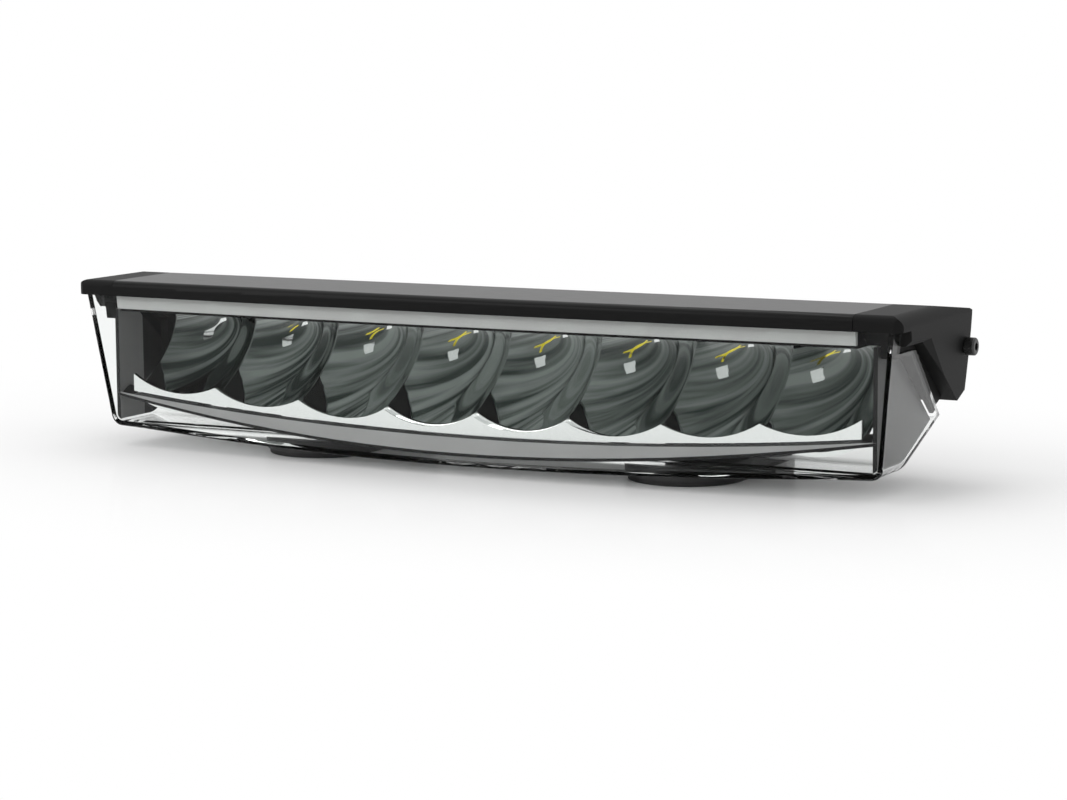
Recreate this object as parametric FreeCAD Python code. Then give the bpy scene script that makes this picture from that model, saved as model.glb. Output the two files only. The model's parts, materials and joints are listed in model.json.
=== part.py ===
import FreeCAD, Part
import math
import os

V = FreeCAD.Vector

# Lengths in mm. X runs along the lamp, Y to its rear, Z up from the surface that it stands on.
# "Depth" is measured to the rear from the foremost point of the lens.

# Optics: a row of half-parabolic mirror cells, lit from above
CELLS = 8
CELL_PITCH = 42.5
FOCAL = 8.8
VERTEX_DEPTH = 61.0
RIM_DEPTH = 15.5
MIRROR_WALL = 1.9
AXIS_Z = 56.5
ROW_END_GAP = 1.0
RAIL_W = 5.0
RAIL_H = 3.0
RAIL_GAP = 0.4
POST_R = 2.4
MIRROR_SCREW_R = 1.25
MIRROR_SCREW_HEAD_R = 2.3
MIRROR_SCREW_HEAD_H = 1.8
MIRROR_SCREW_BITE = 1.3

# Scalloped flange under the mirror, whose edge rises towards the ends
SCALLOP_CUSP_Z = 22.2
SCALLOP_LOW_Z = 17.0
END_RISE = 9.1

# Emitter stack above the mirror, from the emitter face to the top of the housing
EMITTER_DROP = 0.9
EMITTER_T = 0.4
EMITTER_HALF = 1.6
CARRIER_HALF = 2.6
BOARD_T = 1.6
BOARD_REACH = 18.0
BOARD_END_GAP = 1.5
PAD_T = 0.5
PAD_INSET = 0.5
SHELF_T = 2.5
CHAMBER_H = 8.0
ROOF_T = 3.0

# Lens
LENS_WALL = 2.2
LENS_END_SPACE = 16.5
TOP_BOW = 4.2
BOW_RATE = 0.1235
SIDE_TAPER = 0.121
UNDER_ANGLE = 26.0
GROUND_GAP = 2.8
UNDER_RUN = 12.5
KEEL_DEPTH = 37.9
REAR_ANGLE = 25.5
FLOOR_BEND_R = 14.0
FASCIA_H = 6.5
FASCIA_LIP = 1.2
LENS_TUCK = 1.6
LENS_CORNER_R = 5.0
LENS_EDGE_R = 1.8
LENS_SHOULDER = 9.1
SHOULDER_DEPTH = 31.7
TAB_DEPTH = 14.2
SEAL_T = 2.6
SEAL_H = 5.7
LOW_SEAL_T = 1.0
LOW_SEAL_INSET = 0.5
LENS_OVERRUN = 6.0
LENS_STEP_GAP = 0.4

# Bezel behind the lens
BEZEL_WALL = 1.8
BEZEL_GAP = 1.6
LEDGE_T = 1.2
LEDGE_GAP = 0.4
BEZEL_END_DEPTH = 13.0
BEZEL_END_OUT = 5.6
BEZEL_FOOT = 6.0

# Housing
REAR_GAP = 2.6
REAR_WALL = 4.0
FIN_LENGTH = 15.0
FIN_SLOTS = 3
FIN_SLOT_H = 1.8
FIN_T = 1.4
FIN_DROP = 13.6
REAR_SLOT_H = 6.0
REAR_SLOT_DROP = 30.0
CROWN_DEPTH = 45.5
REAR_FACE_DROP = 7.8
REAR_FACE_H = 12.7
REAR_TURN_DROP = 5.2
REAR_TURN_IN = 1.6
REAR_TOP_DROP = 3.8
REAR_TOP_IN = 6.0
HEEL_OUT = 1.3
HEEL_UP = 4.1
VISOR_R = 3.0
FRONT_WALL = 5.0
TONGUE_LENGTH = 7.7
TONGUE_T = 2.8
CHAMBER_FRONT_WALL = 1.0
CHAMBER_REAR_WALL = 3.5

# Mounting channel in the lower rear face
CHANNEL_ANGLE = 30.0
CHANNEL_FACE = 13.0
CHANNEL_INSET = 8.4
CHANNEL_MOUTH = 6.8
CHANNEL_WIDTH = 11.0
CHANNEL_LIP = 2.4
CHANNEL_DEPTH = 5.0

# End caps
CAP_OVERHANG = 4.5
CAP_GASKET_T = 0.6
CAP_EDGE_R = 5.0
CAP_PLAN_R = 6.0
CAP_TOE_OUT = 5.1
CAP_TOE_UP = 7.0
CAP_LIP_W = 3.5
LIP_GAP = 2.8
LIP_BEVEL = 3.4
CAP_WALL = 3.5
SEAT_W = 8.5
SEAT_LAP = 2.0
SEAT_LIFT = 6.5
SEAT_FOOT_Z = 20.0
WEB_DEPTH = 44.0
SPIGOT_LENGTH = 10.0
CAP_SCREW_R = 2.5
CAP_SCREW_HEAD_R = 3.6
CAP_SCREW_HEAD_H = 4.0
CAP_SCREW_REACH = 12.0
CAP_SCREW_KEY = 3.0
CAP_BOSS_WALL = 2.5

# Cable inlet and vent
INLET_R = 3.1
INLET_TUBE_R = 4.2
INLET_LENGTH = 8.0
INLET_COLLAR_T = 1.6
INLET_COLLAR_W = 0.9
INLET_NUT_T = 4.6
INLET_NUT_W = 1.9
INLET_SIDE = 9.5
VENT_R = 2.9
VENT_CAP_T = 1.8
VENT_CAP_W = 1.9

# Driver electronics
DRIVER_SHEET_T = 1.0
DRIVER_EDGE_GAP = 3.0
DRIVER_END_GAP = 12.0
COIL_R = 6.0
COIL_X = 60.0
CAPACITOR_R = 3.2
CAPACITOR_XS = (84.0, 96.0)
SWITCH_X = 30.0
SWITCH_SIZE = (9.0, 10.0, 2.4)
CONNECTOR_SIZE = (12.0, 14.0, 4.6)
HEADROOM = 1.0

# Feet
FOOT_SPACING = 172.0
FOOT_WIDTH = 50.0
FOOT_PLATE_T = 5.0
FOOT_PAD_T = 2.0
FOOT_HOLE_R = 4.3
FOOT_HOLE_DEPTH = 66.0
FOOT_NOSE_DEPTH = 38.0
RISER_GAP = 0.7
FOOT_CORNER_R = 5.0
FOOT_PAD_INSET = 1.0
FLANGE_T = 5.0
RIB_T = 4.0
RIB_REACH = 20.0
SCREW_R = 3.0
SCREW_HEAD_R = 4.8
SCREW_HEAD_H = 4.0
SCREW_KEY = 5.0
SCREW_KEY_FLOOR = 1.6
WASHER_T = 1.2
SCREW_SPREAD = 28.0
NUT_T = 4.0
NUT_LENGTH = 11.0

# Clearances
FIT = 0.15
SLIDE = 0.3
SCREW_CLEAR = 0.3
THREAD_CLEAR = 0.05

# Reach of cutting and trimming bodies
FAR = 300.0

# Derived heights and depths
board_z = AXIS_Z + EMITTER_DROP
pad_z = board_z + BOARD_T
shelf_z = pad_z + PAD_T
chamber_z = shelf_z + SHELF_T
roof_z = chamber_z + CHAMBER_H
top_z = roof_z + ROOF_T
fascia_z = top_z - FASCIA_H
lens_top_z = fascia_z + LENS_TUCK
shoulder_z = fascia_z - LENS_SHOULDER
row_half = CELLS * CELL_PITCH / 2.0
body_half = row_half + ROW_END_GAP
lens_half = row_half + LENS_END_SPACE
cap_half = lens_half + CAP_OVERHANG
focus_depth = VERTEX_DEPTH - FOCAL
rear_in = VERTEX_DEPTH + MIRROR_WALL + REAR_GAP
fin_root = rear_in + REAR_WALL
fin_tip = fin_root + FIN_LENGTH
under_slope = math.tan(math.radians(UNDER_ANGLE))
under_cos = math.cos(math.radians(UNDER_ANGLE))
floor_z = GROUND_GAP + UNDER_RUN * under_slope
rear_slope = math.tan(math.radians(REAR_ANGLE))
rear_cos = math.cos(math.radians(REAR_ANGLE))
lens_rear = rear_in + LENS_OVERRUN
step_depth = lens_rear + LENS_STEP_GAP
tongue_depth = step_depth - TONGUE_LENGTH
seal_back = LENS_WALL + SEAL_T
visor_back = seal_back + TOP_BOW + FRONT_WALL


def under(depth):
    return floor_z + (depth - KEEL_DEPTH) * rear_slope


def at(x, depth, z):
    return V(x, depth - FOOT_HOLE_DEPTH, z)


def centres():
    return [(i - (CELLS - 1) / 2.0) * CELL_PITCH for i in range(CELLS)]


def prism(points, x0, x1):
    ring = [at(x0, d, z) for d, z in points]
    wire = Part.makePolygon(ring + ring[:1])
    return Part.Face(wire).extrude(V(x1 - x0, 0, 0))


def block(x0, x1, d0, d1, z0, z1):
    return Part.makeBox(x1 - x0, d1 - d0, z1 - z0, at(x0, d0, z0))


def rod(start, direction, radius, length):
    return Part.makeCylinder(radius, length, start, direction)


def hexagon(start, direction, flats, length):
    turn = FreeCAD.Rotation(V(0, 0, 1), direction)
    reach = flats / math.sqrt(3.0)
    ring = [V(reach * math.cos(k * math.pi / 3), reach * math.sin(k * math.pi / 3), 0) for k in range(6)]
    ring = [start + turn.multVec(p) for p in ring]
    axis = V(direction)
    axis.normalize()
    return Part.Face(Part.makePolygon(ring + ring[:1])).extrude(axis * length)


def beyond(point, normal, size=900.0):
    half = Part.makeBox(size, size, size, V(-size / 2, -size / 2, 0))
    half.Placement = FreeCAD.Placement(point, FreeCAD.Rotation(V(0, 0, 1), normal))
    return half


def bowed(x, bow, half):
    radius = (half * half + bow * bow) / (2.0 * bow)
    return radius - math.sqrt(radius * radius - x * x)


def bowed_slab(x0, x1, front, back, z0, z1, bow, half):
    xs = [x0, (x0 + x1) / 2.0, x1]
    arc = Part.Arc(*[at(x, front + bowed(x, bow, half), z0) for x in xs]).toShape()
    corners = [arc.Vertexes[1].Point, at(x1, back, z0), at(x0, back, z0), arc.Vertexes[0].Point]
    sides = [Part.makeLine(corners[i], corners[i + 1]) for i in range(3)]
    return Part.Face(Part.Wire([arc] + sides)).extrude(V(0, 0, z1 - z0))


def joined(shapes):
    whole = shapes[0]
    for shape in shapes[1:]:
        whole = whole.fuse(shape)
    return whole.removeSplitter()


def mirrored(shape):
    return shape.mirror(V(0, 0, 0), V(1, 0, 0))


# Lens: a tapered box form whose front bows more towards the bottom

def lens_section(z, inset):
    half = lens_half - (fascia_z - z) * SIDE_TAPER
    bow = TOP_BOW + (fascia_z - z) * BOW_RATE
    radius = (half * half + bow * bow) / (2.0 * bow)
    half = half - inset * math.sqrt(1.0 + SIDE_TAPER ** 2)
    depth = radius - math.sqrt((radius - inset) ** 2 - half * half)
    back = fin_tip + 30.0
    arc = Part.Arc(at(-half, depth, z), at(0, inset, z), at(half, depth, z)).toShape()
    corners = [at(half, depth, z), at(half, back, z), at(-half, back, z), at(-half, depth, z)]
    return Part.Wire([arc] + [Part.makeLine(corners[i], corners[i + 1]) for i in range(3)])


def lens_form(inset):
    return Part.makeLoft([lens_section(-40.0, inset), lens_section(top_z + 20.0, inset)], True, True)


def below_floor(lift):
    lip_z = GROUND_GAP + lift / under_cos
    flat_z = floor_z + lift
    bend = (flat_z - lip_z) / under_slope
    keel = KEEL_DEPTH + (flat_z - floor_z - lift / rear_cos) / rear_slope
    low = -FAR * under_slope
    outline = [(-FAR, lip_z + low), (bend, flat_z), (keel, flat_z), (FAR, flat_z + (FAR - keel) * rear_slope)]
    below = prism(outline + [(FAR, 2.0 * low), (-FAR, 2.0 * low)], -FAR, FAR)
    bends = {bend: FLOOR_BEND_R + lift, keel: FLOOR_BEND_R - lift}
    for depth, radius in bends.items():
        below = below.makeFillet(radius, bend_edges(below, at(0, depth, flat_z)))
    return below


def bend_edges(shape, point):
    picked = []
    for e in shape.Edges:
        if e.BoundBox.XLength > FAR and (e.CenterOfMass - point).Length < 0.01:
            picked.append(e)
    return picked


def lens_base(inset):
    form = lens_form(inset).cut(below_floor(inset))
    seams = [e for e in form.Edges if is_lower_corner(e, inset)]
    return form.makeFillet(LENS_CORNER_R - inset, seams)


def front_edges(form):
    face = min(form.Faces, key=lambda f: f.CenterOfMass.y)
    return [e for e in face.Edges if e.CenterOfMass.z < top_z]


def is_lower_corner(edge, inset):
    middle = edge.valueAt((edge.FirstParameter + edge.LastParameter) / 2.0)
    run = edge.Vertexes[-1].Point - edge.Vertexes[0].Point
    if abs(middle.x) < row_half or abs(run.y) < 2.0 * abs(run.z) - 0.01 or abs(run.x) > abs(run.y):
        return False
    depth = middle.y + FOOT_HOLE_DEPTH
    lowest = max(floor_z, under(depth)) + inset / rear_cos
    return middle.z < lowest + 1.0


edge_run = V(0, lens_rear - SHOULDER_DEPTH, under(lens_rear) - shoulder_z)
edge_normal = V(0, -edge_run.z, edge_run.y)
edge_normal.normalize()


def behind_edge(shift):
    return beyond(at(0, lens_rear, under(lens_rear)) + edge_normal * shift, edge_normal)


def make_lens():
    outside = lens_base(0.0)
    outside = outside.makeFillet(LENS_EDGE_R, front_edges(outside))
    lens = outside.cut(lens_base(LENS_WALL))
    lens = lens.cut(behind_edge(0.0))
    lens = lens.cut(block(-FAR, FAR, TAB_DEPTH, FAR, shoulder_z, FAR))
    return lens.cut(block(-FAR, FAR, -FAR, FAR, lens_top_z, FAR))


# Housing: one extruded section with the front machined to the bow of the lens

channel_run = V(0, math.cos(math.radians(CHANNEL_ANGLE)), math.sin(math.radians(CHANNEL_ANGLE)))
channel_out = V(0, channel_run.z, -channel_run.y)
channel_mid = at(0, step_depth, under(step_depth)) + channel_run * CHANNEL_INSET


def channel_point(along, inward):
    p = channel_mid + channel_run * along - channel_out * inward
    return (p.y + FOOT_HOLE_DEPTH, p.z)


toe = (step_depth, under(step_depth))
heel_low = channel_point(CHANNEL_FACE - CHANNEL_INSET, 0.0)
heel = (heel_low[0] + HEEL_OUT, heel_low[1] + HEEL_UP)
rear_high = (fin_tip, top_z - REAR_FACE_DROP)
rear_low = (fin_tip, rear_high[1] - REAR_FACE_H)
rear_turn = (fin_tip - REAR_TURN_IN, top_z - REAR_TURN_DROP)
rear_top = (fin_tip - REAR_TOP_IN, top_z - REAR_TOP_DROP)
crown = (CROWN_DEPTH, top_z)
back_outline = [toe, heel_low, heel, rear_low, rear_high, rear_turn, rear_top, crown]


def tongue_low(depth):
    return under(depth) + (LENS_WALL + LOW_SEAL_T) / rear_cos


def housing_outline():
    inner = [(visor_back, shelf_z), (rear_in, shelf_z), (rear_in, tongue_low(rear_in) + 2.0 * TONGUE_T)]
    inner = inner + [(tongue_depth, tongue_low(tongue_depth) + TONGUE_T)]
    inner = inner + [(tongue_depth, tongue_low(tongue_depth)), (step_depth, tongue_low(step_depth))]
    return [(visor_back, top_z)] + inner + back_outline


chamber_front = visor_back + CHAMBER_FRONT_WALL
chamber_rear = rear_in - CHAMBER_REAR_WALL
fin_first = top_z - FIN_DROP


def visor():
    lip = -FASCIA_LIP
    slab = bowed_slab(-cap_half, cap_half, lip, visor_back, fascia_z, top_z, TOP_BOW, lens_half)
    front = [e for e in slab.Edges if e.BoundBox.ZMin > top_z - 0.01 and e.BoundBox.YMin < at(0, 0, 0).y]
    return slab.makeFillet(VISOR_R, front)


def lens_slot():
    ring = lens_form(-SLIDE).cut(lens_form(LENS_WALL + SLIDE))
    return ring.common(block(-FAR, FAR, -FAR, TAB_DEPTH, shoulder_z, lens_top_z + SLIDE))


def make_housing():
    body = prism(housing_outline(), -body_half, body_half)
    front = visor().common(block(-body_half, body_half, -FAR, FAR, 0, FAR))
    wall = bowed_slab(-body_half, body_half, seal_back, visor_back, shelf_z, fascia_z, TOP_BOW, lens_half)
    body = joined([body, front, wall])
    body = body.cut(lens_slot())
    body = body.cut(block(-FAR, FAR, chamber_front, chamber_rear, chamber_z, roof_z))
    for k in range(FIN_SLOTS):
        low = fin_first + k * (FIN_SLOT_H + FIN_T)
        body = body.cut(block(-FAR, FAR, fin_root, FAR, low, low + FIN_SLOT_H))
    slot_z = top_z - REAR_SLOT_DROP
    body = body.cut(block(-FAR, FAR, fin_root, FAR, slot_z, slot_z + REAR_SLOT_H))
    mouth = CHANNEL_MOUTH / 2.0
    wide = CHANNEL_WIDTH / 2.0
    deep = CHANNEL_LIP + CHANNEL_DEPTH
    neck = [(-mouth, -SLIDE), (mouth, -SLIDE), (mouth, CHANNEL_LIP + SLIDE), (-mouth, CHANNEL_LIP + SLIDE)]
    body = body.cut(prism([channel_point(a, b) for a, b in neck], -FAR, FAR))
    cavity = [(-wide, CHANNEL_LIP), (wide, CHANNEL_LIP), (wide, deep), (-wide, deep)]
    body = body.cut(prism([channel_point(a, b) for a, b in cavity], -FAR, FAR))
    for x in mirror_screw_xs():
        start = at(x, mirror_screw_depth, shelf_z - 1.0)
        body = body.cut(rod(start, V(0, 0, 1), MIRROR_SCREW_R + FIT, SHELF_T))
    for side in (-1, 1):
        port = rod(cap_screw_at(side * body_half), V(-side, 0, 0), CAP_SCREW_R + FIT, CAP_SCREW_REACH + 1.0)
        body = body.cut(port)
    return body


inlet_x = -(cap_half - INLET_SIDE)
inlet_z = rear_high[1] - INLET_TUBE_R - INLET_COLLAR_W - SLIDE
inlet_in = fin_tip - CAP_WALL + FIT
cap_screw_depth = fin_tip - CAP_WALL - CAP_SCREW_R
cap_screw_z = inlet_z - INLET_R - CAP_SCREW_R - SLIDE


def cap_screw_at(x):
    return at(x, cap_screw_depth, cap_screw_z)


# End caps: the housing's section carried round the end of the lens with a bevelled lip

cap_in = body_half + CAP_GASKET_T
cap_lip_in = cap_half - CAP_LIP_W
lip_low = shoulder_z + LIP_GAP
cap_toe = (toe[0] + CAP_TOE_OUT, toe[1] + CAP_TOE_UP)


def cap_profile(points):
    start = [(visor_back, top_z), (visor_back, fascia_z)]
    return start + points + back_outline[2:]


def cap_wire(points, x):
    ring = [at(x, d, z) for d, z in cap_profile(points)]
    return Part.makePolygon(ring + ring[:1])


def cap_rounding():
    plan = block(0, cap_half, bowed(lens_half, TOP_BOW, lens_half) - FASCIA_LIP - 0.4, fin_tip, 0, top_z)
    plan = plan.makeFillet(CAP_PLAN_R, upright_edges(plan, cap_half))
    drop = top_z * SIDE_TAPER
    ring = [V(0, -FAR, 0), V(cap_half - drop, -FAR, 0), V(cap_half, -FAR, top_z), V(0, -FAR, top_z)]
    side = Part.Face(Part.makePolygon(ring + ring[:1])).extrude(V(0, 2.0 * FAR, 0))
    corner = [e for e in side.Edges if e.BoundBox.XMin > cap_half - 0.01 and e.BoundBox.YLength > FAR]
    side = side.makeFillet(CAP_EDGE_R, corner)
    return plan.common(side)


def upright_edges(shape, x):
    picked = []
    for e in shape.Edges:
        if e.BoundBox.ZLength > top_z / 2.0 and e.BoundBox.XMin > x - 0.01:
            picked.append(e)
    return picked


def make_cap():
    inner = [(TAB_DEPTH + 1.0, lip_low), (SHOULDER_DEPTH + 1.3, lip_low), cap_toe]
    outer = [(TAB_DEPTH + 2.0, lip_low + LIP_BEVEL)]
    outer = outer + [(SHOULDER_DEPTH + 2.5 * LIP_BEVEL, lip_low + 0.6 * LIP_BEVEL)]
    outer = outer + [(cap_toe[0] + LIP_BEVEL, cap_toe[1] + LIP_BEVEL)]
    body = Part.Face(cap_wire(inner, cap_in)).extrude(V(cap_lip_in - cap_in, 0, 0))
    lip = Part.makeLoft([cap_wire(inner, cap_lip_in), cap_wire(outer, cap_half)], True, True)
    front = visor().common(block(body_half + FIT, FAR, -FAR, FAR, 0, FAR))
    cap = joined([body, lip, front]).common(cap_rounding())
    cap = cap.cut(lens_form(-SLIDE).common(cap_clear()))
    seat = lens_form(LENS_WALL + FIT).cut(block(0, lens_half - SEAT_W, -FAR, FAR, 0, FAR))
    rear_seat = seat.common(behind_edge(-SEAT_LAP)).cut(below_floor(SEAT_LIFT))
    rear_seat = rear_seat.common(block(cap_in, FAR, TAB_DEPTH, toe[0] + 3.0, SEAT_FOOT_Z, lip_low + SEAT_LAP))
    top_seat = seat.common(block(cap_in, FAR, TAB_DEPTH + FIT, SHOULDER_DEPTH + 8.0, shoulder_z - SEAT_LAP,
                                 lip_low + SEAT_LAP))
    web = lens_form(LENS_WALL + BEZEL_GAP + BEZEL_WALL + FIT).cut(below_floor(SEAT_LIFT))
    web_end = row_half + BEZEL_END_OUT - FIT
    web = web.common(block(cap_in, web_end, WEB_DEPTH, WEB_DEPTH + CAP_WALL, SEAT_FOOT_Z, lip_low + 1.0))
    spigot = block(body_half - SPIGOT_LENGTH, cap_in + SEAT_LAP, chamber_front + SLIDE, chamber_rear - SLIDE,
                   chamber_z + SLIDE, roof_z - SLIDE)
    cap = joined([cap, rear_seat, top_seat, web, spigot])
    pocket = Part.Face(cap_wire(inner, cap_in - 0.5).makeOffset2D(-CAP_WALL, 2))
    pocket = pocket.extrude(V(cap_lip_in - cap_in - 1.0, 0, 0))
    cap = cap.cut(pocket.common(block(0, FAR, SHOULDER_DEPTH + 10.0, fin_tip, 0, FAR)))
    boss = rod(cap_screw_at(cap_in), V(1, 0, 0), CAP_SCREW_R + CAP_BOSS_WALL, cap_lip_in - cap_in)
    cap = joined([cap, boss])
    return cap.cut(rod(cap_screw_at(cap_in - 1), V(1, 0, 0), CAP_SCREW_R + SCREW_CLEAR, FAR))


def cap_clear():
    corner = block(0, FAR, -FAR, TAB_DEPTH + SLIDE, 0, lens_top_z + SLIDE)
    return corner.fuse(block(0, FAR, -FAR, SHOULDER_DEPTH, 0, shoulder_z + SLIDE))


def make_cap_left():
    cap = mirrored(make_cap())
    return cap.cut(rod(at(inlet_x, fin_tip - INLET_LENGTH, inlet_z), V(0, 1, 0), INLET_TUBE_R + FIT, FAR))


def make_cap_right():
    return make_cap().cut(rod(at(-inlet_x, fin_tip - INLET_LENGTH, inlet_z), V(0, 1, 0), VENT_R + FIT, FAR))


def make_cap_gasket():
    sheet = prism(housing_outline(), body_half, cap_in)
    sheet = sheet.common(prism(cap_profile([(SHOULDER_DEPTH, lip_low), cap_toe]), body_half, cap_in))
    sheet = sheet.cut(block(0, FAR, chamber_front, chamber_rear, chamber_z, roof_z))
    return sheet.cut(rod(cap_screw_at(0), V(1, 0, 0), CAP_SCREW_R + SCREW_CLEAR, FAR))


def make_cap_screw():
    seat = cap_half - (top_z - cap_screw_z) * SIDE_TAPER + 0.5
    shank = rod(cap_screw_at(body_half - CAP_SCREW_REACH), V(1, 0, 0), CAP_SCREW_R,
                seat + 1.0 - body_half + CAP_SCREW_REACH)
    head = rod(cap_screw_at(seat), V(1, 0, 0), CAP_SCREW_HEAD_R, CAP_SCREW_HEAD_H)
    rim = [e for e in head.Edges if e.BoundBox.XMin > seat + CAP_SCREW_HEAD_H / 2]
    head = head.makeFillet(0.8, rim)
    key = cap_screw_at(seat + CAP_SCREW_HEAD_H / 2)
    head = head.cut(hexagon(key, V(1, 0, 0), CAP_SCREW_KEY, CAP_SCREW_HEAD_H))
    return joined([shank, head])


# Mirror: one moulding of parabolic cells with a plain flange under the scalloped rim

def bowl(x, focal, vertex, front):
    rim = math.sqrt(4.0 * focal * (vertex - front))
    curve = Part.BezierCurve()
    curve.setPoles([at(x, vertex, AXIS_Z), at(x + rim / 2.0, vertex, AXIS_Z), at(x + rim, front, AXIS_Z)])
    across = Part.makeLine(at(x + rim, front, AXIS_Z), at(x, front, AXIS_Z))
    along = Part.makeLine(at(x, front, AXIS_Z), at(x, vertex, AXIS_Z))
    face = Part.Face(Part.Wire([curve.toShape(), across, along]))
    return face.revolve(at(x, 0, AXIS_Z), V(0, 1, 0), 180)


mirror_screw_depth = rear_in - RAIL_GAP - RAIL_W / 2.0


def mirror_screw_xs():
    return [k * 2.0 * CELL_PITCH for k in (-1, 0, 1)] + [row_half - RAIL_W, RAIL_W - row_half]


def rail():
    back = rear_in - RAIL_GAP
    bar = block(-row_half, row_half, back - RAIL_W, back, AXIS_Z - RAIL_H, AXIS_Z)
    posts = [rod(at(x, mirror_screw_depth, AXIS_Z - 1.0), V(0, 0, 1), POST_R, shelf_z - AXIS_Z + 1.0)
             for x in mirror_screw_xs()]
    return joined([bar] + posts)


def rise(x):
    return END_RISE * (x / row_half) ** 2


def flange():
    ends = [x - CELL_PITCH / 2 for x in centres()] + [row_half]
    cusps = [at(x, RIM_DEPTH, SCALLOP_CUSP_Z + rise(x)) for x in ends]
    lows = [at(x, RIM_DEPTH, SCALLOP_LOW_Z + rise(x)) for x in centres()]
    arcs = [Part.Arc(cusps[i], lows[i], cusps[i + 1]).toShape() for i in range(CELLS)]
    foot = [cusps[-1], at(row_half, RIM_DEPTH, 0), at(-row_half, RIM_DEPTH, 0), cusps[0]]
    sides = [Part.makeLine(foot[i], foot[i + 1]) for i in range(3)]
    sheet = Part.Face(Part.Wire(arcs + sides)).extrude(V(0, MIRROR_WALL, 0))
    return sheet.cut(below_ledge(LEDGE_T + FIT))


def make_mirror():
    back = RIM_DEPTH + MIRROR_WALL
    run = VERTEX_DEPTH - back
    skin = (math.sqrt(4.0 * FOCAL * run) + MIRROR_WALL) ** 2 / (4.0 * (run + MIRROR_WALL))
    shells = []
    bowls = []
    for x in centres():
        cell = block(x - CELL_PITCH / 2, x + CELL_PITCH / 2, -FAR, FAR, -FAR, FAR)
        shells.append(bowl(x, skin, VERTEX_DEPTH + MIRROR_WALL, back).common(cell))
        bowls.append(bowl(x, FOCAL, VERTEX_DEPTH, back).common(cell))
    mirror = joined(shells + [rail()])
    for hollow in bowls:
        mirror = mirror.cut(hollow)
    mirror = joined([mirror, flange()])
    mirror = mirror.cut(below_floor(LENS_WALL + LEDGE_GAP))
    for x in mirror_screw_xs():
        mirror = mirror.cut(rod(at(x, mirror_screw_depth, 0), V(0, 0, 1), MIRROR_SCREW_R + FIT, FAR))
    return mirror


def make_mirror_screws():
    screws = []
    for x in mirror_screw_xs():
        seat = AXIS_Z - RAIL_H
        head = rod(at(x, mirror_screw_depth, seat - MIRROR_SCREW_HEAD_H), V(0, 0, 1), MIRROR_SCREW_HEAD_R,
                   MIRROR_SCREW_HEAD_H)
        shank = rod(at(x, mirror_screw_depth, seat - 0.5), V(0, 0, 1), MIRROR_SCREW_R,
                    shelf_z - seat + 0.5 + MIRROR_SCREW_BITE)
        screws.append(shank.fuse(head).removeSplitter())
    return screws


# Bezel: floor and end walls that frame the mirror inside the lens

def below_ledge(lift):
    low = LENS_WALL + LEDGE_GAP + lift
    xs = (-lens_half, 0.0, lens_half)
    arc = Part.Arc(*[at(x, 0, GROUND_GAP + low / under_cos + rise(x)) for x in xs]).toShape()
    corners = [at(lens_half, 0, rise(lens_half)), at(lens_half, 0, -90), at(-lens_half, 0, -90)]
    corners = [arc.Vertexes[1].Point] + corners[1:] + [arc.Vertexes[0].Point]
    sides = [Part.makeLine(corners[i], corners[i + 1]) for i in range(3)]
    run = V(0, fin_tip, fin_tip * under_slope)
    return Part.Face(Part.Wire([arc] + sides)).extrude(run)


def make_bezel():
    inset = LENS_WALL + BEZEL_GAP
    form = lens_form(inset)
    ledge = below_ledge(LEDGE_T).cut(below_ledge(0.0)).common(form)
    reach = block(-FAR, FAR, 0, RIM_DEPTH - FIT, 0, FAR)
    for side in (-1, 1):
        ends = sorted([side * (row_half + SLIDE), side * FAR])
        reach = reach.fuse(block(ends[0], ends[1], 0, BEZEL_END_DEPTH + BEZEL_FOOT, 0, FAR))
    ledge = ledge.common(reach)
    walls = lens_base(LENS_WALL + LEDGE_GAP).cut(behind_edge(-SEAT_LAP - SLIDE))
    upright = []
    for side in (-1, 1):
        ends = sorted([side * (row_half + BEZEL_END_OUT), side * (row_half + BEZEL_END_OUT + BEZEL_WALL)])
        panel = block(ends[0], ends[1], BEZEL_END_DEPTH, fin_tip, 0, lip_low - SLIDE)
        upright.append(walls.common(panel))
    walls = upright[0].fuse(upright[1])
    return joined([ledge] + walls.Solids)


# Seals

def make_top_seal():
    strip = bowed_slab(-body_half, body_half, 0.0, visor_back, fascia_z - SEAL_H, fascia_z - FIT,
                       TOP_BOW, lens_half)
    strip = strip.cut(bowed_slab(-lens_half, lens_half, seal_back, FAR, 0, FAR, TOP_BOW, lens_half))
    return strip.common(lens_form(LENS_WALL))


def make_low_seal():
    front = tongue_depth + LOW_SEAL_INSET
    back = lens_rear - LOW_SEAL_INSET
    lower = [(d, under(d) + LENS_WALL / rear_cos) for d in (front, back)]
    upper = [(d, tongue_low(d)) for d in (back, front)]
    return prism(lower + upper, -body_half, body_half)


# Emitter board and its pad

board_front = focus_depth - BOARD_REACH
board_rear = mirror_screw_depth - POST_R - SLIDE
board_half = row_half - BOARD_END_GAP


def make_board():
    return block(-board_half, board_half, board_front, board_rear, board_z, pad_z)


def make_pad():
    half = board_half - PAD_INSET
    return block(-half, half, board_front + PAD_INSET, board_rear - PAD_INSET, pad_z, shelf_z)


emitter_z = board_z - EMITTER_DROP


def squares(half, z0, z1):
    return [block(x - half, x + half, focus_depth - half, focus_depth + half, z0, z1) for x in centres()]


def make_emitters():
    return squares(EMITTER_HALF, emitter_z, emitter_z + EMITTER_T)


def make_carriers():
    return squares(CARRIER_HALF, emitter_z + EMITTER_T, board_z)


# Driver electronics in the roof chamber

driver_z = chamber_z + DRIVER_SHEET_T
driver_half = body_half - SPIGOT_LENGTH - DRIVER_END_GAP
driver_front = chamber_front + DRIVER_EDGE_GAP
driver_rear = chamber_rear - DRIVER_EDGE_GAP
driver_space = roof_z - driver_z - BOARD_T - HEADROOM


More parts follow.
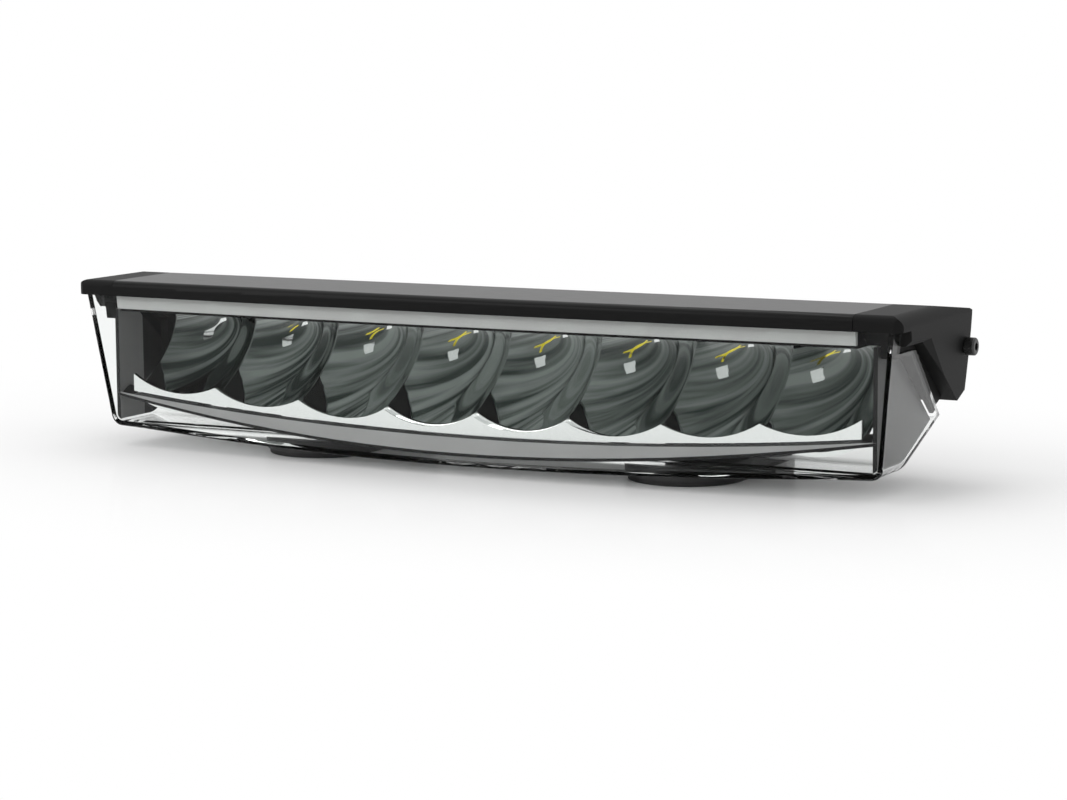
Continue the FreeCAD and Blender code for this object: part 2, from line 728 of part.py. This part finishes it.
def make_driver_sheet():
    return block(-driver_half, driver_half, driver_front, driver_rear, chamber_z, driver_z)


def make_driver():
    return block(-driver_half, driver_half, driver_front, driver_rear, driver_z, driver_z + BOARD_T)


def on_driver(x, share):
    return at(x, driver_front + share * (driver_rear - driver_front), driver_z + BOARD_T)


def make_coils():
    return [rod(on_driver(x, 0.5), V(0, 0, 1), COIL_R, driver_space) for x in (-COIL_X, COIL_X)]


def make_capacitors():
    xs = [side * x for side in (-1, 1) for x in CAPACITOR_XS]
    return [rod(on_driver(x, 0.3), V(0, 0, 1), CAPACITOR_R, driver_space) for x in xs]


def on_driver_box(x, share, size):
    return Part.makeBox(*size, on_driver(x, share) - V(size[0] / 2.0, size[1] / 2.0, 0))


def make_switches():
    return [on_driver_box(x, 0.6, SWITCH_SIZE) for x in (-SWITCH_X, SWITCH_X)]


def make_connector():
    return on_driver_box(CONNECTOR_SIZE[0] - driver_half, 0.5, CONNECTOR_SIZE)


# Cable inlet and vent on the rear of the caps

def make_inlet():
    tube = rod(at(inlet_x, inlet_in, inlet_z), V(0, 1, 0), INLET_TUBE_R, INLET_LENGTH + 2.0)
    collar = rod(at(inlet_x, fin_tip, inlet_z), V(0, 1, 0), INLET_TUBE_R + INLET_COLLAR_W, INLET_COLLAR_T)
    bore = rod(at(inlet_x, 0, inlet_z), V(0, 1, 0), INLET_R, FAR)
    return joined([tube, collar]).cut(bore)


def make_inlet_nut():
    start = at(inlet_x, fin_tip + INLET_COLLAR_T, inlet_z)
    nut = hexagon(start, V(0, 1, 0), 2 * INLET_TUBE_R + INLET_NUT_W, INLET_NUT_T)
    return nut.cut(rod(at(inlet_x, 0, inlet_z), V(0, 1, 0), INLET_TUBE_R + THREAD_CLEAR, FAR))


def make_vent():
    stem = rod(at(-inlet_x, inlet_in, inlet_z), V(0, 1, 0), VENT_R, CAP_WALL)
    cap = rod(at(-inlet_x, fin_tip, inlet_z), V(0, 1, 0), VENT_R + VENT_CAP_W, VENT_CAP_T)
    return joined([stem, cap])


# Feet: a flat sole with a rounded nose, a riser and a flange clamped to the channel

def flange_point(along, outward):
    return channel_point(along, -outward)


sole_z = FOOT_PAD_T + FOOT_PLATE_T
head_end = flange_point(SCREW_HEAD_R, FLANGE_T + WASHER_T + SCREW_HEAD_H)
riser_front = head_end[0] + RISER_GAP
riser_rear = riser_front + FOOT_PLATE_T


def foot_plan(x, inset, z0, z1):
    half = FOOT_WIDTH / 2.0 - inset
    sole = block(x - half, x + half, FOOT_NOSE_DEPTH, riser_rear - inset, z0, z1)
    rear = [e for e in sole.Edges if e.BoundBox.ZLength > (z1 - z0) / 2 and e.BoundBox.YMin > at(0, FOOT_NOSE_DEPTH, 0).y + 1.0]
    sole = sole.makeFillet(FOOT_CORNER_R, rear)
    nose = rod(at(x, FOOT_NOSE_DEPTH, z0), V(0, 0, 1), half, z1 - z0)
    return joined([sole, nose])


def make_foot(x):
    low = 2.0 * SLIDE - CHANNEL_INSET
    slope = math.tan(math.radians(CHANNEL_ANGLE))
    top = flange_point(low, 0.0)
    bottom = flange_point(low, FLANGE_T)
    rear_z = top[1] + (riser_rear - top[0]) * slope
    inner_z = bottom[1] + (riser_front - bottom[0]) * slope
    half = FOOT_WIDTH / 2.0
    outline = [(0.0, FOOT_PAD_T), (riser_rear, FOOT_PAD_T), (riser_rear, rear_z), top, bottom]
    outline = outline + [(riser_front, inner_z), (riser_front, sole_z), (0.0, sole_z)]
    foot = prism(outline, x - half, x + half).common(foot_plan(x, 0.0, 0.0, top_z))
    rib = [(riser_front - RIB_REACH, sole_z - 1.0), (riser_front + 1.0, sole_z - 1.0)]
    rib = rib + [(riser_front + 1.0, inner_z), (riser_front - 3.0, inner_z - 4.0)]
    ribs = [prism(rib, x - half, x - half + RIB_T), prism(rib, x + half - RIB_T, x + half)]
    foot = joined([foot] + ribs)
    foot = foot.cut(rod(at(x, FOOT_HOLE_DEPTH, -FAR), V(0, 0, 1), FOOT_HOLE_R, 2.0 * FAR))
    for dx in (-SCREW_SPREAD / 2, SCREW_SPREAD / 2):
        start = channel_mid + V(x + dx, 0, 0) - channel_out * 3.0
        foot = foot.cut(rod(start, channel_out, SCREW_R + SCREW_CLEAR, FLANGE_T + 6.0))
    return foot


def make_foot_pad(x):
    pad = foot_plan(x, FOOT_PAD_INSET, 0.0, FOOT_PAD_T)
    return pad.cut(rod(at(x, FOOT_HOLE_DEPTH, -FAR), V(0, 0, 1), FOOT_HOLE_R, 2.0 * FAR))


def clamp_points():
    spots = []
    for x in (-FOOT_SPACING / 2, FOOT_SPACING / 2):
        for dx in (-SCREW_SPREAD / 2, SCREW_SPREAD / 2):
            spots.append(channel_mid + V(x + dx, 0, 0))
    return spots


def make_clamp_screws():
    parts = []
    for p in clamp_points():
        seat = p + channel_out * (FLANGE_T + WASHER_T)
        length = FLANGE_T + WASHER_T + CHANNEL_LIP + NUT_T + 0.5
        shank = rod(seat + channel_out * 0.5, channel_out * -1.0, SCREW_R, length)
        head = rod(seat, channel_out, SCREW_HEAD_R, SCREW_HEAD_H)
        head = head.cut(hexagon(seat + channel_out * SCREW_KEY_FLOOR, channel_out, SCREW_KEY, SCREW_HEAD_H))
        parts.append(shank.fuse(head).removeSplitter())
    return parts


def make_clamp_washers():
    parts = []
    for p in clamp_points():
        ring = rod(p + channel_out * FLANGE_T, channel_out, SCREW_HEAD_R + 1.0, WASHER_T)
        parts.append(ring.cut(rod(p, channel_out, SCREW_R + FIT, FAR)))
    return parts


def make_clamp_nuts():
    parts = []
    wide = CHANNEL_WIDTH / 2.0 - SLIDE
    deep = CHANNEL_LIP + NUT_T
    section = [(-wide, CHANNEL_LIP), (wide, CHANNEL_LIP), (wide, deep), (-wide, deep)]
    section = [channel_point(a, b) for a, b in section]
    for p in clamp_points():
        nut = prism(section, p.x - NUT_LENGTH / 2.0, p.x + NUT_LENGTH / 2.0)
        start = p - channel_out * 2.0 * deep
        parts.append(nut.cut(rod(start, channel_out, SCREW_R + THREAD_CLEAR, 4.0 * deep)))
    return parts


foot_x = FOOT_SPACING / 2.0
gasket = make_cap_gasket()
screw = make_cap_screw()

nodes = {
    "housing": make_housing(),
    "end_cap_left": make_cap_left(),
    "end_cap_right": make_cap_right(),
    "cap_gasket_left": mirrored(gasket),
    "cap_gasket_right": gasket,
    "cap_screws": [mirrored(screw), screw],
    "lens": make_lens(),
    "lens_seal_top": make_top_seal(),
    "lens_seal_low": make_low_seal(),
    "bezel": make_bezel(),
    "mirror": make_mirror(),
    "mirror_screws": make_mirror_screws(),
    "emitter_board": make_board(),
    "emitter_carriers": make_carriers(),
    "emitters": make_emitters(),
    "thermal_pad": make_pad(),
    "driver_sheet": make_driver_sheet(),
    "driver_board": make_driver(),
    "driver_coils": make_coils(),
    "driver_capacitors": make_capacitors(),
    "driver_switches": make_switches(),
    "driver_connector": make_connector(),
    "cable_inlet": make_inlet(),
    "cable_inlet_nut": make_inlet_nut(),
    "vent_plug": make_vent(),
    "foot_left": make_foot(-foot_x),
    "foot_right": make_foot(foot_x),
    "foot_pad_left": make_foot_pad(-foot_x),
    "foot_pad_right": make_foot_pad(foot_x),
    "clamp_screws": make_clamp_screws(),
    "clamp_washers": make_clamp_washers(),
    "clamp_nuts": make_clamp_nuts(),
}

os.makedirs("parts", exist_ok=True)
for name, shape in nodes.items():
    if isinstance(shape, list):
        shape = Part.makeCompound(shape)
    shape.exportStep("parts/" + name + ".step")
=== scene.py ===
import json
import math

import bpy
from mathutils import Matrix, Vector


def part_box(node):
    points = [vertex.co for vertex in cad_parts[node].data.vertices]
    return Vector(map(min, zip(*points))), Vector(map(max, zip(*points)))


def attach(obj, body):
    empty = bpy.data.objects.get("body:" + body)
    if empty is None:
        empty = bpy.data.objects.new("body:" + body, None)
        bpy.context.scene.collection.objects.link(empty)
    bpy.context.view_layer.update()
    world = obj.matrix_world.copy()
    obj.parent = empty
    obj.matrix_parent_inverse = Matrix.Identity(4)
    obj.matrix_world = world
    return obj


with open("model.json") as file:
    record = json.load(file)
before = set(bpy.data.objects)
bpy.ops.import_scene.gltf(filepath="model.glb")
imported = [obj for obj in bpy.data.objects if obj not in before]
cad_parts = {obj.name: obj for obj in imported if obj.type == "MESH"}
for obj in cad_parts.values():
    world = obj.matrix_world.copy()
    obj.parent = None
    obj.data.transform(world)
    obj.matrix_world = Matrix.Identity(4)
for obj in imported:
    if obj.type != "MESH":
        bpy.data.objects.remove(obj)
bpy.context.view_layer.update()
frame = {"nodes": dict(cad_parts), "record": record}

NODES = frame["nodes"]

# Camera, from the edges of the lamp: place in metres, angles in degrees
CAMERA_PLACE = Vector((0.5717, -1.0631, 0.1865))
CAMERA_YAW = 28.24
CAMERA_PITCH = 7.71
CAMERA_ROLL = -0.446
FOCAL_PIXELS = 2865.5
IMAGE_WIDTH = 1067.0
SENSOR_MM = 36.0

# Mirror cells, in metres, and the film that lies just in front of them
CELLS = 8
CELL_PITCH = 0.0425
MIRROR_FOCAL = 0.0088
MIRROR_RIM = 0.0436
FILM_GAP = 0.00004
FILM_THICKNESS = 0.00002
FILM_TURNS = 72
FILM_RINGS = 56
FILM_START = 0.004

# Lens: it bends light less than real plastic, which keeps its edges thin
LENS_INDEX = 1.16
LENS_TINT = (0.97, 0.98, 0.975, 1.0)
LENS_SHADOW = (0.95, 0.96, 0.955, 1.0)
LENS_HAZE = 0.01
LENS_HAZE_SCALE = 900.0

# Tracks of the emitter board, long from front to rear
TRACK_SCALE = 420.0
TRACK_STRETCH = (1.0, 0.06, 1.0)
TRACK_DARK = (0.014, 0.03, 0.023, 1.0)
TRACK_LIGHT = (0.46, 0.5, 0.48, 1.0)
TRACK_START = 0.38
TRACK_END = 0.64
TRACK_GRAIN = 0.1
TRACK_DEPTH = 0.00004
BOARD_ROUGH = 0.4

# Pads on the emitter board beside each emitter, from its middle, painted to give glints in the mirrors: a
# yellow cross, which is a painted reflection of an emitter, and a pale square, which is a painted highlight;
# and how far both drift along the row
GLINT_CROSS_PLACE = (-0.0042, -0.0061)
GLINT_CROSS_LINE = 0.00016
GLINT_CROSS_REACH = 0.0011
GLINT_CROSS_YELLOW = (0.9, 0.75, 0.05, 1.0)
GLINT_DOT_PLACE = (-0.0067, -0.0062)
GLINT_DOT_HALF = (0.0008, 0.0008)
GLINT_DOT_WHITE = (0.95, 0.95, 0.95, 1.0)
GLINT_DRIFT = 0.0034
DRIFT_POWER = 3.0
GLINT_ROUGH = 0.08

# Bezel: where its end walls begin, how far back they stay grey inside, and its black rear strip of painted
# shade
WALL_FROM = 0.175
WALL_SHADE = -0.0354
SHADE_STRIP_FROM = -0.0526

# Faces of the bezel by their normal: those to the front, and the outer ones of the end walls,
# where place times normal along the lamp is large
FRONT_NORMAL = -0.8
OUTER_FROM = 0.1
# Painted light and shade on one grey plastic: the pale ledge is the lit grey, the end walls a painted-shade
# grey, their outer faces darker still as painted shade, and black for painted shade along the rear and for
# the faces to the front
LEDGE_DARK = 0.43
LEDGE_LIGHT = 0.47
SHADED_WALL_GREY = 0.26
SHADED_OUTER_GREY = 0.05
SHADE_AND_EDGE_BLACK = 0.004
BEZEL_SCALE = 3500.0
BEZEL_SMOOTH = 0.35
BEZEL_ROUGH = 0.42
BEZEL_SHINE = 0.25

# Floor: an oval round the lamp shows its shade, and beyond it the floor is plain white
FLOOR_Z = -0.0001
FLOOR_HALF = 6.0
FLOOR_CUTS = 8
FLOOR_WHITE = 0.8
FLOOR_SHEEN = 0.06
SHEEN_ROUGH = 0.1
FLOOR_STRETCH = 0.55
FLOOR_NEAR = 0.06
FLOOR_FAR = 0.26

# Studio: a little darker towards one side
SHADE_SIDE = (0.62, -0.76, 0.2)
SHADE_FROM = 0.1
SHADE_TO = 0.75
SHADE_LEVEL = 0.8


def even(value):
    return (value, value, value)


def grey(value):
    return (value, value, value, 1.0)


def new_material(name):
    material = bpy.data.materials.new(name)
    material.use_nodes = True
    tree = material.node_tree
    shader = tree.nodes["Principled BSDF"]
    return material, tree, shader


def add(tree, kind, **values):
    node = tree.nodes.new(kind)
    for key, value in values.items():
        setattr(node, key, value)
    return node


# A float is set on the socket, and an output is linked to it
def feed(tree, socket, value):
    if isinstance(value, float):
        socket.default_value = value
    elif value is not None:
        tree.links.new(value, socket)


def math_node(tree, operation, first, second=None, third=None):
    node = add(tree, "ShaderNodeMath", operation=operation)
    for socket, value in zip(node.inputs, (first, second, third)):
        feed(tree, socket, value)
    return node.outputs["Value"]


def mix_shaders(tree, share, first, second):
    node = add(tree, "ShaderNodeMixShader")
    feed(tree, node.inputs["Fac"], share)
    tree.links.new(first, node.inputs[1])
    tree.links.new(second, node.inputs[2])
    return node.outputs["Shader"]


def object_noise(tree, scale, detail=4.0, stretch=(1.0, 1.0, 1.0)):
    place = add(tree, "ShaderNodeTexCoord")
    mapping = add(tree, "ShaderNodeMapping")
    mapping.inputs["Scale"].default_value = stretch
    noise = add(tree, "ShaderNodeTexNoise")
    noise.inputs["Scale"].default_value = scale
    noise.inputs["Detail"].default_value = detail
    tree.links.new(place.outputs["Object"], mapping.inputs["Vector"])
    tree.links.new(mapping.outputs["Vector"], noise.inputs["Vector"])
    return noise.outputs["Fac"]


def ramp(tree, source, low, high, start=0.3, end=0.7):
    node = add(tree, "ShaderNodeValToRGB")
    node.color_ramp.elements[0].position = start
    node.color_ramp.elements[1].position = end
    node.color_ramp.elements[0].color = low
    node.color_ramp.elements[1].color = high
    tree.links.new(source, node.inputs["Fac"])
    return node.outputs["Color"]


def soft_step(tree, source, start, end, low, high):
    node = add(tree, "ShaderNodeMapRange", interpolation_type="SMOOTHSTEP")
    node.inputs["From Min"].default_value = start
    node.inputs["From Max"].default_value = end
    node.inputs["To Min"].default_value = low
    node.inputs["To Max"].default_value = high
    tree.links.new(source, node.inputs["Value"])
    return node.outputs["Result"]


def bump(tree, shader, height, strength, distance):
    node = add(tree, "ShaderNodeBump")
    node.inputs["Strength"].default_value = strength
    node.inputs["Distance"].default_value = distance
    tree.links.new(height, node.inputs["Height"])
    tree.links.new(node.outputs["Normal"], shader.inputs["Normal"])


def blend(tree, mask, below, colour):
    node = add(tree, "ShaderNodeMix", data_type="RGBA")
    tree.links.new(mask, node.inputs[0])
    tree.links.new(below, node.inputs[6])
    node.inputs[7].default_value = colour
    return node.outputs[2]


def split_axes(tree, output):
    place = add(tree, "ShaderNodeTexCoord")
    split = add(tree, "ShaderNodeSeparateXYZ")
    tree.links.new(place.outputs[output], split.inputs["Vector"])
    return split.outputs["X"], split.outputs["Y"]


def surface(name, dark, light, rough, scale, grain=0.1, metallic=0.0, stretch=(1.0, 1.0, 1.0), depth=0.0001,
            shine=0.5):
    material, tree, shader = new_material(name)
    noise = object_noise(tree, scale, stretch=stretch)
    tree.links.new(ramp(tree, noise, dark + (1.0,), light + (1.0,)), shader.inputs["Base Color"])
    tree.links.new(ramp(tree, noise, grey(rough[0]), grey(rough[1])), shader.inputs["Roughness"])
    shader.inputs["Metallic"].default_value = metallic
    shader.inputs["Specular IOR Level"].default_value = shine
    if grain > 0.0:
        bump(tree, shader, noise, grain, depth)
    return material


# Rays that look for shadow pass straight through the lens, so that it shades little behind it
def clear_plastic():
    material, tree, shader = new_material("lens_clear")
    shader.inputs["Base Color"].default_value = LENS_TINT
    shader.inputs["IOR"].default_value = LENS_INDEX
    shader.inputs["Transmission Weight"].default_value = 1.0
    haze = ramp(tree, object_noise(tree, LENS_HAZE_SCALE), grey(0.0), grey(LENS_HAZE))
    tree.links.new(haze, shader.inputs["Roughness"])
    path = add(tree, "ShaderNodeLightPath")
    clear = add(tree, "ShaderNodeBsdfTransparent")
    clear.inputs["Color"].default_value = LENS_SHADOW
    mix = mix_shaders(tree, path.outputs["Is Shadow Ray"], shader.outputs["BSDF"], clear.outputs["BSDF"])
    tree.links.new(mix, tree.nodes["Material Output"].inputs["Surface"])
    return material


# Where the emitters lie: their middle from front to rear, and their underside
def emitter_place():
    low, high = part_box("emitters")
    return (low[1] + high[1]) / 2.0, low[2]


def patch(tree, across, along, place, half):
    inside = math_node(tree, "COMPARE", across, place[0], half[0])
    return math_node(tree, "MULTIPLY", inside, math_node(tree, "COMPARE", along, place[1], half[1]))


def board():
    material, tree, shader = new_material("board_green")
    focus, _ = emitter_place()
    x, y = split_axes(tree, "Object")
    across = math_node(tree, "WRAP", x, CELL_PITCH, 0.0)
    across = math_node(tree, "SUBTRACT", across, CELL_PITCH / 2.0)
    share = math_node(tree, "DIVIDE", x, CELLS * CELL_PITCH)
    share = math_node(tree, "POWER", math_node(tree, "ADD", share, 0.5), DRIFT_POWER)
    across = math_node(tree, "SUBTRACT", across, math_node(tree, "MULTIPLY", share, GLINT_DRIFT))
    along = math_node(tree, "SUBTRACT", y, focus)
    tracks = object_noise(tree, TRACK_SCALE, detail=3.0, stretch=TRACK_STRETCH)
    colour = ramp(tree, tracks, TRACK_DARK, TRACK_LIGHT, TRACK_START, TRACK_END)
    # Painted glints: a yellow cross as a painted reflection of an emitter, and a pale square as a painted
    # highlight, both shiny pads
    upright = patch(tree, across, along, GLINT_CROSS_PLACE, (GLINT_CROSS_LINE, GLINT_CROSS_REACH))
    level = patch(tree, across, along, GLINT_CROSS_PLACE, (GLINT_CROSS_REACH, GLINT_CROSS_LINE))
    glint_cross = math_node(tree, "MAXIMUM", upright, level)
    glint_dot = patch(tree, across, along, GLINT_DOT_PLACE, GLINT_DOT_HALF)
    colour = blend(tree, glint_cross, colour, GLINT_CROSS_YELLOW)
    colour = blend(tree, glint_dot, colour, GLINT_DOT_WHITE)
    tree.links.new(colour, shader.inputs["Base Color"])
    glints = math_node(tree, "MAXIMUM", glint_cross, glint_dot)
    tree.links.new(glints, shader.inputs["Metallic"])
    rough = math_node(tree, "MULTIPLY_ADD", glints, GLINT_ROUGH - BOARD_ROUGH, BOARD_ROUGH)
    tree.links.new(rough, shader.inputs["Roughness"])
    bump(tree, shader, tracks, TRACK_GRAIN, TRACK_DEPTH)
    return material


# Painted light and shade on one grey plastic: pale ledge where lit, darker end walls as painted shade, black
# along the rear as painted shade, and black on the faces to the front
def bezel():
    material, tree, shader = new_material("bezel_dark")
    x, y = split_axes(tree, "Object")
    side, ahead = split_axes(tree, "Normal")
    front = math_node(tree, "LESS_THAN", ahead, FRONT_NORMAL)
    wall = math_node(tree, "GREATER_THAN", math_node(tree, "ABSOLUTE", x), WALL_FROM)
    outer = math_node(tree, "GREATER_THAN", math_node(tree, "MULTIPLY", side, x), OUTER_FROM)
    edge = math_node(tree, "MULTIPLY_ADD", wall, WALL_SHADE - SHADE_STRIP_FROM, SHADE_STRIP_FROM)
    behind = math_node(tree, "GREATER_THAN", y, edge)
    shade_strip = math_node(tree, "MULTIPLY", behind, math_node(tree, "SUBTRACT", 1.0, outer))
    noise = object_noise(tree, BEZEL_SCALE)
    colour = ramp(tree, noise, grey(LEDGE_DARK), grey(LEDGE_LIGHT))
    # Painted shade on the end walls and their outer faces, then black as painted shade along the rear and
    # black on the faces to the front
    colour = blend(tree, wall, colour, grey(SHADED_WALL_GREY))
    colour = blend(tree, outer, colour, grey(SHADED_OUTER_GREY))
    colour = blend(tree, math_node(tree, "MAXIMUM", front, shade_strip), colour, grey(SHADE_AND_EDGE_BLACK))
    tree.links.new(colour, shader.inputs["Base Color"])
    gloss = ramp(tree, noise, grey(BEZEL_SMOOTH), grey(BEZEL_ROUGH))
    tree.links.new(gloss, shader.inputs["Roughness"])
    shader.inputs["Specular IOR Level"].default_value = BEZEL_SHINE
    return material


def make_materials():
    looks = {}

    def plain(name, dark, light, **values):
        looks[name] = surface(name, dark, light, **values)

    plain("body_black", even(0.005), even(0.008), rough=(0.28, 0.34), scale=3000.0, grain=0.0,
          stretch=(0.04, 1.0, 1.0), shine=0.09)
    plain("cap_black", even(0.004), even(0.008), rough=(0.5, 0.6), scale=4500.0, grain=0.2, depth=0.00002,
          shine=0.1)
    looks["lens_clear"] = clear_plastic()
    plain("seal_grey", (0.42, 0.43, 0.42), (0.48, 0.49, 0.48), rough=(0.35, 0.45), scale=3000.0)
    plain("seal_black", even(0.01), even(0.02), rough=(0.6, 0.8), scale=2500.0)
    looks["bezel_dark"] = bezel()
    plain("mirror_chrome", (0.78, 0.8, 0.79), (0.81, 0.83, 0.82), rough=(0.02, 0.03), scale=800.0, grain=0.0,
          metallic=1.0)
    looks["board_green"] = board()
    plain("ceramic_white", (0.78, 0.78, 0.76), (0.86, 0.86, 0.84), rough=(0.4, 0.5), scale=3000.0)
    plain("emitter_yellow", (0.8, 0.5, 0.03), (0.9, 0.62, 0.06), rough=(0.3, 0.4), scale=5000.0)
    plain("pad_blue", (0.1, 0.13, 0.2), (0.14, 0.17, 0.25), rough=(0.7, 0.8), scale=1500.0)
    plain("sheet_amber", (0.3, 0.15, 0.02), (0.4, 0.2, 0.03), rough=(0.3, 0.4), scale=900.0)
    plain("coil_dark", even(0.03), even(0.05), rough=(0.5, 0.6), scale=2500.0)
    plain("can_silver", even(0.6), even(0.7), rough=(0.25, 0.35), scale=2500.0, metallic=1.0)
    plain("chip_black", even(0.01), even(0.02), rough=(0.45, 0.55), scale=3000.0)
    plain("screw_steel", even(0.05), even(0.08), rough=(0.35, 0.45), scale=3500.0, metallic=1.0)
    plain("foot_black", even(0.01), even(0.02), rough=(0.4, 0.55), scale=4000.0, grain=0.3)
    return looks


# A point of the lower half of a paraboloid, cut off at the sides of its cell
def film_point(centre, vertex, axis_z, turn, share):
    angle = math.pi * (1.0 + turn)
    edge = abs(math.cos(angle))
    reach = math.sqrt(4.0 * MIRROR_FOCAL * MIRROR_RIM)
    if edge * reach > CELL_PITCH / 2.0:
        reach = CELL_PITCH / 2.0 / edge
    radius = reach * share
    point = Vector((centre + radius * math.cos(angle), vertex - radius ** 2 / (4.0 * MIRROR_FOCAL),
                    axis_z + radius * math.sin(angle)))
    normal = Vector((point.x - centre, 2.0 * MIRROR_FOCAL, point.z - axis_z)).normalized()
    return point - normal * FILM_GAP


def make_film(looks):
    focus, axis_z = emitter_place()
    vertex = focus + MIRROR_FOCAL
    points = []
    faces = []
    row = FILM_RINGS + 1
    for cell in range(CELLS):
        centre = (cell - (CELLS - 1) / 2.0) * CELL_PITCH
        first = len(points)
        for i in range(FILM_TURNS + 1):
            for j in range(row):
                share = FILM_START + (1.0 - FILM_START) * j / FILM_RINGS
                points.append(film_point(centre, vertex, axis_z, i / FILM_TURNS, share))
        for i in range(FILM_TURNS):
            for j in range(FILM_RINGS):
                a = first + i * row + j
                faces.append((a, a + 1, a + row + 1, a + row))
    mesh = bpy.data.meshes.new("mirror_film")
    mesh.from_pydata(points, [], faces)
    mesh.polygons.foreach_set("use_smooth", [True] * len(mesh.polygons))
    mesh.materials.append(looks["mirror_chrome"])
    film = bpy.data.objects.new("mirror_film", mesh)
    bpy.context.collection.objects.link(film)
    skin = film.modifiers.new("thickness", "SOLIDIFY")
    skin.thickness = FILM_THICKNESS
    skin.offset = 0.0
    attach(film, "root")


def dress(looks):
    for part in frame["record"]["subparts"]:
        mesh = NODES[part["node"]].data
        mesh.materials.clear()
        mesh.materials.append(looks[part["material_slot"]])
    evened = NODES["housing"].modifiers.new("evened_normals", "WEIGHTED_NORMAL")
    evened.keep_sharp = True


def seen_directly(tree):
    path = add(tree, "ShaderNodeLightPath")
    either = math_node(tree, "MAXIMUM", path.outputs["Is Camera Ray"], path.outputs["Is Transmission Ray"])
    return math_node(tree, "MAXIMUM", either, path.outputs["Is Glossy Ray"])


def floor_material():
    material, tree, shader = new_material("floor_white")
    tree.nodes.remove(shader)
    matt = add(tree, "ShaderNodeBsdfDiffuse")
    matt.inputs["Color"].default_value = grey(FLOOR_WHITE)
    sheen = add(tree, "ShaderNodeBsdfGlossy")
    sheen.inputs["Roughness"].default_value = SHEEN_ROUGH
    sheet = mix_shaders(tree, FLOOR_SHEEN, matt.outputs["BSDF"], sheen.outputs["BSDF"])
    place = add(tree, "ShaderNodeTexCoord")
    oval = add(tree, "ShaderNodeMapping")
    oval.inputs["Scale"].default_value = (FLOOR_STRETCH, 1.0, 1.0)
    tree.links.new(place.outputs["Object"], oval.inputs["Vector"])
    away = add(tree, "ShaderNodeVectorMath", operation="LENGTH")
    tree.links.new(oval.outputs["Vector"], away.inputs[0])
    beyond = soft_step(tree, away.outputs["Value"], FLOOR_NEAR, FLOOR_FAR, 0.0, 1.0)
    share = math_node(tree, "MULTIPLY", beyond, seen_directly(tree))
    white = add(tree, "ShaderNodeEmission")
    mix = mix_shaders(tree, share, sheet, white.outputs["Emission"])
    tree.links.new(mix, tree.nodes["Material Output"].inputs["Surface"])
    return material


def make_floor():
    bpy.ops.mesh.primitive_grid_add(x_subdivisions=FLOOR_CUTS, y_subdivisions=FLOOR_CUTS,
                                    size=2.0 * FLOOR_HALF, location=(0.0, 0.0, FLOOR_Z))
    floor = bpy.context.object
    floor.name = "floor"
    floor.data.materials.append(floor_material())


def make_world():
    world = bpy.data.worlds.new("studio")
    bpy.context.scene.world = world
    world.use_nodes = True
    tree = world.node_tree
    background = tree.nodes["Background"]
    background.inputs["Color"].default_value = grey(1.0)
    place = add(tree, "ShaderNodeTexCoord")
    towards = add(tree, "ShaderNodeVectorMath", operation="DOT_PRODUCT")
    towards.inputs[1].default_value = SHADE_SIDE
    tree.links.new(place.outputs["Generated"], towards.inputs[0])
    level = soft_step(tree, towards.outputs["Value"], SHADE_FROM, SHADE_TO, 1.0, SHADE_LEVEL)
    tree.links.new(level, background.inputs["Strength"])


def area_light(name, place, target, size, power):
    data = bpy.data.lights.new(name, "AREA")
    data.shape = "RECTANGLE"
    data.size = size[0]
    data.size_y = size[1]
    data.energy = power
    lamp = bpy.data.objects.new(name, data)
    bpy.context.collection.objects.link(lamp)
    lamp.location = place
    lamp.rotation_euler = (Vector(target) - Vector(place)).to_track_quat("-Z", "Y").to_euler()


def make_lights():
    area_light("top_light", place=(-0.4, 0.1, 1.6), target=(0.0, 0.0, 0.03), size=(1.6, 1.2), power=7.0)
    area_light("front_light", place=(-1.0, -1.5, 1.0), target=(0.0, 0.0, 0.04), size=(1.0, 0.8), power=7.0)


def make_camera():
    yaw = math.radians(CAMERA_YAW)
    pitch = math.radians(CAMERA_PITCH)
    roll = math.radians(CAMERA_ROLL)
    ahead = Vector((-math.sin(yaw) * math.cos(pitch), math.cos(yaw) * math.cos(pitch), -math.sin(pitch)))
    level = Vector((math.cos(yaw), math.sin(yaw), 0.0))
    upward = level.cross(ahead)
    across = level * math.cos(roll) + upward * math.sin(roll)
    above = upward * math.cos(roll) - level * math.sin(roll)
    data = bpy.data.cameras.new("camera")
    data.sensor_width = SENSOR_MM
    data.lens = FOCAL_PIXELS / IMAGE_WIDTH * SENSOR_MM
    camera = bpy.data.objects.new("camera", data)
    bpy.context.collection.objects.link(camera)
    turn = Matrix((across, above, -ahead)).transposed().to_4x4()
    camera.matrix_world = Matrix.Translation(CAMERA_PLACE) @ turn
    bpy.context.scene.camera = camera


bpy.context.scene.view_settings.view_transform = "Standard"
looks = make_materials()
dress(looks)
make_film(looks)
make_floor()
make_world()
make_lights()
make_camera()
